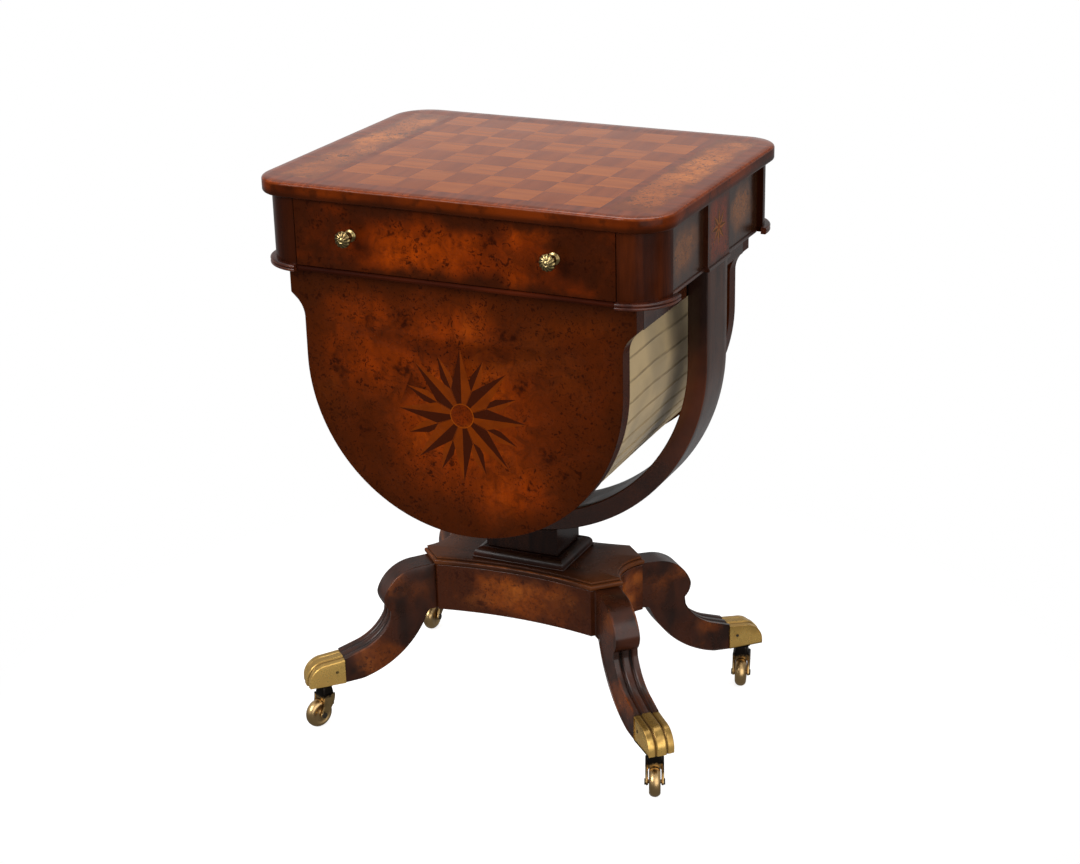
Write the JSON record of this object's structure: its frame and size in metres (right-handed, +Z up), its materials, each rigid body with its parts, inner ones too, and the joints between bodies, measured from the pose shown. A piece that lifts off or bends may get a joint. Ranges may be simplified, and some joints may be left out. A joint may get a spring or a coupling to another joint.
{
  "type": "chess table",
  "caption": "Games and work table: inlaid chessboard top, frieze with a drawer, half-round cloth basket between curved arms, hollow-sided base, sabre legs on brass casters.",
  "frame": {"origin": "on the floor under the middle of the table", "axes": "+Z up, -Y to the drawer side, +X to the right of someone who faces the drawer"},
  "size_m": [0.5254, 0.4308, 0.74],
  "materials": {
    "mahogany": "French-polished mahogany, semi-gloss",
    "dark_rosewood": "French-polished rosewood, semi-gloss",
    "burl": "French-polished burl veneer with dark knots",
    "light_veneer": "French-polished satinwood veneer",
    "drawer_oak": "plain waxed oak",
    "brass": "aged cast brass, worn bright on the edges",
    "steel": "plain steel",
    "pleated_cloth": "matt pleated silk, dusty beige"
  },
  "bodies": {
    "table": {"top_core": "mahogany", "drawer_kickers": "mahogany", "u_arm_left": "mahogany", "u_arm_right": "mahogany", "u_curve": "mahogany", "leg_front_left": "mahogany", "leg_front_right": "mahogany", "leg_back_left": "mahogany", "leg_back_right": "mahogany", "corner_mouldings": "mahogany", "lower_beads": "mahogany", "front_rail": "mahogany", "top_rail": "mahogany", "base_core": "mahogany", "back_panel": "mahogany", "top_crossbanding": "dark_rosewood", "pedestal_block": "dark_rosewood", "plinth_moulding": "dark_rosewood", "base_top": "dark_rosewood", "dark_squares": "dark_rosewood", "top_burl_fields": "burl", "corner_posts": "burl", "side_panel_left": "burl", "side_panel_right": "burl", "side_blocks": "burl", "light_squares": "light_veneer", "side_star_inlays": "light_veneer", "drawer_runners": "drawer_oak", "basket_runners": "drawer_oak", "toe_caps": "brass", "cap_screws": "brass", "arm_screws": "steel"},
    "drawer": {"drawer_front": "burl", "drawer_side_left": "drawer_oak", "drawer_side_right": "drawer_oak", "drawer_bottom": "drawer_oak", "drawer_back": "drawer_oak", "knob_left": "brass", "knob_right": "brass", "knob_nuts": "brass"},
    "basket": {"basket_rail_left": "mahogany", "basket_rail_right": "mahogany", "basket_front": "burl", "basket_back": "burl", "basket_star_inlays": "light_veneer", "work_bag": "pleated_cloth"},
    "swivel_front_left": {"caster_fork_front_left": "brass", "caster_axle_front_left": "steel"},
    "wheel_front_left": {"caster_wheel_front_left": "brass"},
    "swivel_front_right": {"caster_fork_front_right": "brass", "caster_axle_front_right": "steel"},
    "wheel_front_right": {"caster_wheel_front_right": "brass"},
    "swivel_back_right": {"caster_fork_back_right": "brass", "caster_axle_back_right": "steel"},
    "wheel_back_right": {"caster_wheel_back_right": "brass"},
    "swivel_back_left": {"caster_fork_back_left": "brass", "caster_axle_back_left": "steel"},
    "wheel_back_left": {"caster_wheel_back_left": "brass"}
  },
  "joints": [
    {"name": "drawer_slide", "type": "slide", "parent": "table", "child": "drawer", "axis": [0, -1, 0], "range_m": [0, 0.25]},
    {"name": "basket_slide", "type": "slide", "parent": "table", "child": "basket", "axis": [0, -1, 0], "range_m": [0, 0.2]},
    {"name": "caster_swivel_front_left", "type": "hinge", "parent": "table", "child": "swivel_front_left", "pos_m": [-0.23289, -0.14954, 0.061], "axis": [0, 0, 1], "continuous": true},
    {"name": "wheel_turn_front_left", "type": "hinge", "parent": "swivel_front_left", "child": "wheel_front_left", "pos_m": [-0.23702, -0.15974, 0.019], "axis": [0.9272, -0.3746, 0], "continuous": true},
    {"name": "caster_swivel_front_right", "type": "hinge", "parent": "table", "child": "swivel_front_right", "pos_m": [0.23289, -0.14954, 0.061], "axis": [0, 0, 1], "continuous": true},
    {"name": "wheel_turn_front_right", "type": "hinge", "parent": "swivel_front_right", "child": "wheel_front_right", "pos_m": [0.23702, -0.15974, 0.019], "axis": [0.9272, 0.3746, 0], "continuous": true},
    {"name": "caster_swivel_back_right", "type": "hinge", "parent": "table", "child": "swivel_back_right", "pos_m": [0.23289, 0.16584, 0.061], "axis": [0, 0, 1], "continuous": true},
    {"name": "wheel_turn_back_right", "type": "hinge", "parent": "swivel_back_right", "child": "wheel_back_right", "pos_m": [0.23574, 0.15522, 0.019], "axis": [0.9659, 0.2588, 0], "continuous": true},
    {"name": "caster_swivel_back_left", "type": "hinge", "parent": "table", "child": "swivel_back_left", "pos_m": [-0.23289, 0.16584, 0.061], "axis": [0, 0, 1], "continuous": true},
    {"name": "wheel_turn_back_left", "type": "hinge", "parent": "swivel_back_left", "child": "wheel_back_left", "pos_m": [-0.23289, 0.15484, 0.019], "axis": [1, 0, 0], "continuous": true}
  ]
}
